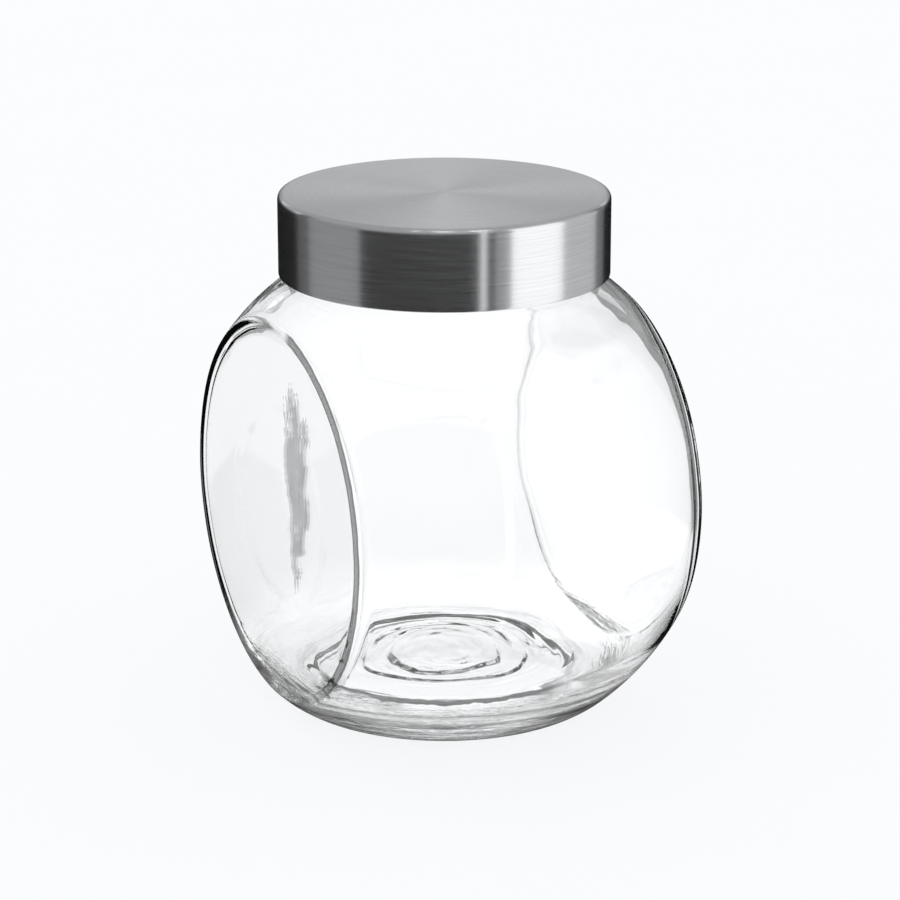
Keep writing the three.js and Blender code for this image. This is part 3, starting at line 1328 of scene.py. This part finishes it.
@dataclass
class SealRing:
    """The soft ring between the glass rim and the insert, with a pressing lip on each face."""

    inner: float
    outer: float
    low_z: float
    high_z: float
    lip: float = 0.25 * MM
    columns: int = 160

    def outline(self) -> Outline:
        """The ring's section: a rounded bar whose faces have two low lips.

        Returns:
            The points, in order.
        """
        soft = 0.4 * MM
        radii = np.linspace(self.inner + soft, self.outer - soft, 24)
        share = (radii - radii[0]) / (radii[-1] - radii[0])
        dip = self.lip * (0.5 - 0.5 * np.cos(2 * TURN * share)) * (share > 0) * (share < 1)
        bottom = np.c_[radii, self.low_z + dip]
        top = np.c_[radii, self.high_z - dip][::-1]
        return joined(
            bottom,
            bend(bottom[-1], (self.outer, self.low_z), (self.outer, self.low_z + soft), 4),
            bend((self.outer, self.high_z - soft), (self.outer, self.high_z), top[0], 4),
            top,
            bend(top[-1], (self.inner, self.high_z), (self.inner, self.high_z - soft), 4),
            bend((self.inner, self.low_z + soft), (self.inner, self.low_z), bottom[0], 4),
        )

    def build(self, finish: bpy.types.Material) -> bpy.types.Object:
        """Builds the ring.

        Args:
            finish: the silicone.

        Returns:
            The ring, riding on the seal body in place of the CAD node.
        """
        mesh = turned_mesh("seal_ring", self.outline(), self.columns)
        bmesh.ops.remove_doubles(mesh, verts=mesh.verts, dist=0.005 * MM)
        bmesh.ops.recalc_face_normals(mesh, faces=mesh.faces)
        piece = to_piece("sealing_ring", mesh, finish)
        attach(piece, "seal")
        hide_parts("seal_ring")
        return piece


# ---- Studio ----------------------------------------------------------------------------------


@dataclass(frozen=True)
class Card:
    """A curved light card round the jar, given by the directions that it fills."""

    name: str
    middle: float
    width: float
    strength: float
    low: float = -40.0
    high: float = 50.0


@dataclass
class Studio:
    """The pale floor, the soft surround, the cards that the steel reflects and the camera."""

    azimuth: float = math.radians(-26.54)
    elevation: float = math.radians(17.10)
    distance: float = 1.0964
    aim: Span = (1.86 * MM, 84.8 * MM)
    lens: float = 130.1
    floor_size: float = 60.0
    other_views: tuple[float, ...] = (0.0, 45.0, 90.0, 225.0)
    wall_radius: float = 3.0
    cards: tuple[Card, ...] = (
        Card("low_lining_front", 0.0, 250.0, 0.024, -60.0, 1.0),
        Card("low_lining_back", 180.0, 112.0, 0.008, -60.0, 1.0),
        Card("mid_lining", 0.0, 360.0, 0.17, 1.0, 9.0),
        Card("high_lining", 0.0, 360.0, 0.44, 9.0, 60.0),
        Card("top_strip", 180.0, 130.0, 1.8, 13.0, 21.0),
        Card("top_riser", 180.0, 12.0, 0.8, 10.0, 59.0),
        Card("edge_card", 8.0, 70.0, 3.2, 46.0, 58.0),
        Card("key_card", 67.0, 42.0, 1.32, -50.0, 34.0),
        Card("key_side_card", 107.0, 38.0, 0.60, -50.0, 34.0),
        Card("key_spill_card", 40.0, 11.0, 0.36, -50.0, 30.0),
        Card("strip_card", 26.5, 4.0, 1.15, -50.0, 34.0),
        Card("fill_card", -82.0, 46.0, 0.32, -50.0, 30.0),
        Card("rim_card", -112.0, 14.0, 0.14, -50.0, 30.0),
        Card("far_card", 133.0, 14.0, 0.19, -50.0, 30.0),
    )

    def direction(self, azimuth: float, elevation: float) -> Vector:
        """The unit direction from the jar towards a place seen from it.

        Args:
            azimuth: the angle round the jar, in radians, from its front.
            elevation: the angle above the level, in radians.

        Returns:
            The direction.
        """
        return Vector((
            math.sin(azimuth) * math.cos(elevation),
            -math.cos(azimuth) * math.cos(elevation),
            math.sin(elevation),
        ))

    def add_camera(self) -> None:
        """Puts the camera where it looks a little down on the jar, with one flat side to its left."""
        back = self.direction(self.azimuth, self.elevation)
        right = Vector((math.cos(self.azimuth), math.sin(self.azimuth), 0.0))
        target = Vector((0.0, 0.0, self.aim[1])) + right * self.aim[0]
        data = bpy.data.cameras.new("camera")
        data.lens = self.lens
        data.sensor_width = 36.0
        data.dof.use_dof = False
        camera = bpy.data.objects.new("camera", data)
        camera.location = target + back * self.distance
        camera.rotation_mode = "QUATERNION"
        camera.rotation_quaternion = (-back).to_track_quat("-Z", "Y")
        bpy.context.scene.collection.objects.link(camera)
        bpy.context.scene.camera = camera

    def add_floor(self) -> None:
        """Lays the pale floor just under the jar's foot."""
        mesh = bmesh.new()
        bmesh.ops.create_grid(mesh, x_segments=8, y_segments=8, size=self.floor_size / 2)
        floor = to_piece("studio_floor", mesh, PaleSweep().material(), smooth=False)
        floor.location.z = -0.6 * MM
        floor.visible_glossy = False
        floor.visible_transmission = False

    def add_world(self) -> None:
        """Lights the studio evenly from all round."""
        world = bpy.data.worlds.new("studio_air")
        bpy.context.scene.world = world
        world.use_nodes = True
        graph = Graph(world.node_tree)
        air = {"Color": (0.972, 0.98, 0.994, 1.0), "Strength": 1.0}
        shader = graph.add("ShaderNodeBackground", {}, air)
        graph.add("ShaderNodeOutputWorld", {}, {"Surface": shader})

    def card_mesh(self, card: Card, radius: float) -> bmesh.types.BMesh:
        """A card's curved sheet, measured from the camera's own azimuth.

        Args:
            card: the card.
            radius: how far it stands from the jar's axis.

        Returns:
            The sheet.
        """
        mesh = bmesh.new()
        across = np.radians(card.middle + np.linspace(-0.5, 0.5, 13) * card.width) + self.azimuth
        up = np.radians(np.linspace(card.low, card.high, 9))
        rows = [
            [mesh.verts.new(radius * self.direction(a, 0.0) + Vector((0, 0, radius * math.tan(e) + 0.16)))
             for a in across]
            for e in up
        ]
        for low, high in zip(rows, rows[1:]):
            for i in range(len(low) - 1):
                mesh.faces.new((low[i], low[i + 1], high[i + 1], high[i]))
        return mesh

    def add_reflections(self) -> None:
        """Surrounds the jar, for reflections only, with dim linings, a ceiling and light cards."""
        ceiling = bmesh.new()
        bmesh.ops.create_circle(ceiling, cap_ends=True, segments=48, radius=2.6)
        top = to_piece("ceiling_card", ceiling, LightCard("ceiling_light", 0.45).material())
        top.location.z = 3.0
        pieces = [top]
        for order, card in enumerate(self.cards):
            glow = LightCard(card.name + "_light", card.strength).material()
            pieces.append(to_piece(card.name, self.card_mesh(card, 2.2 - 0.02 * order), glow))
        for piece in pieces:
            self.limit(piece, glossy=True)

    def add_lanes(self) -> None:
        """Surrounds the jar, for refraction only, with white lanes between dark flags."""
        headings = [self.azimuth + math.pi] + [math.radians(view) + math.pi for view in self.other_views]
        finish = PaleLanes(tuple(headings)).material()
        ground = bmesh.new()
        bmesh.ops.create_circle(ground, cap_ends=True, segments=64, radius=self.wall_radius)
        floor = to_piece("lane_floor", ground, finish, smooth=False)
        floor.location.z = -0.7 * MM
        outline = np.array([(self.wall_radius, -1 * MM), (self.wall_radius, 2.2), (0.0, 2.2)])
        wall = turned_mesh("lane_wall", outline, 64)
        for piece in (floor, to_piece("lane_wall", wall, finish, smooth=False)):
            self.limit(piece, transmission=True)

    @staticmethod
    def limit(piece: bpy.types.Object, glossy: bool = False, transmission: bool = False) -> None:
        """Sets a card's ray visibility so that only one kind of ray sees it.

        Args:
            piece: the card.
            glossy: whether reflections see it.
            transmission: whether refraction sees it.
        """
        piece.visible_camera = False
        piece.visible_diffuse = False
        piece.visible_glossy = glossy
        piece.visible_transmission = transmission
        piece.visible_volume_scatter = False
        piece.visible_shadow = False

    def build(self) -> None:
        """Builds the whole studio."""
        self.add_camera()
        self.add_floor()
        self.add_world()
        self.add_reflections()
        self.add_lanes()
        bpy.context.scene.view_settings.view_transform = "Standard"


# ---- Assembly --------------------------------------------------------------------------------


def main() -> None:
    """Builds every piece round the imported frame, in order."""
    logging.basicConfig(level=logging.INFO, format="%(name)s: %(message)s")
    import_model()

    jar_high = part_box("glass_jar")[1]
    jar = GlassJar(flat_x=jar_high.x, radius=jar_high.y, rim_z=jar_high.z)
    shell_low, shell_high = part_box("lid_shell")
    shell = LidShell(radius=shell_high.x, top_z=shell_high.z, bottom_z=shell_low.z)
    insert_low, insert_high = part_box("lid_insert")
    insert = LidInsert(outer=insert_high.x, top_z=insert_high.z, bottom_z=insert_low.z)
    seal_low, seal_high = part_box("seal_ring")
    seal = SealRing(inner=insert.seal_inner, outer=seal_high.x, low_z=seal_low.z, high_z=seal_high.z)

    for part, finish in (
        (jar, ClearGlass()),
        (shell, SpunSteel()),
        (insert, WHITE_PLASTIC),
        (seal, SILICONE),
    ):
        piece = part.build(finish.material())
        log.info("%s: %d faces in %s", piece.name, len(piece.data.polygons), finish.name)

    Studio().build()


if __name__ == "__main__":
    main()
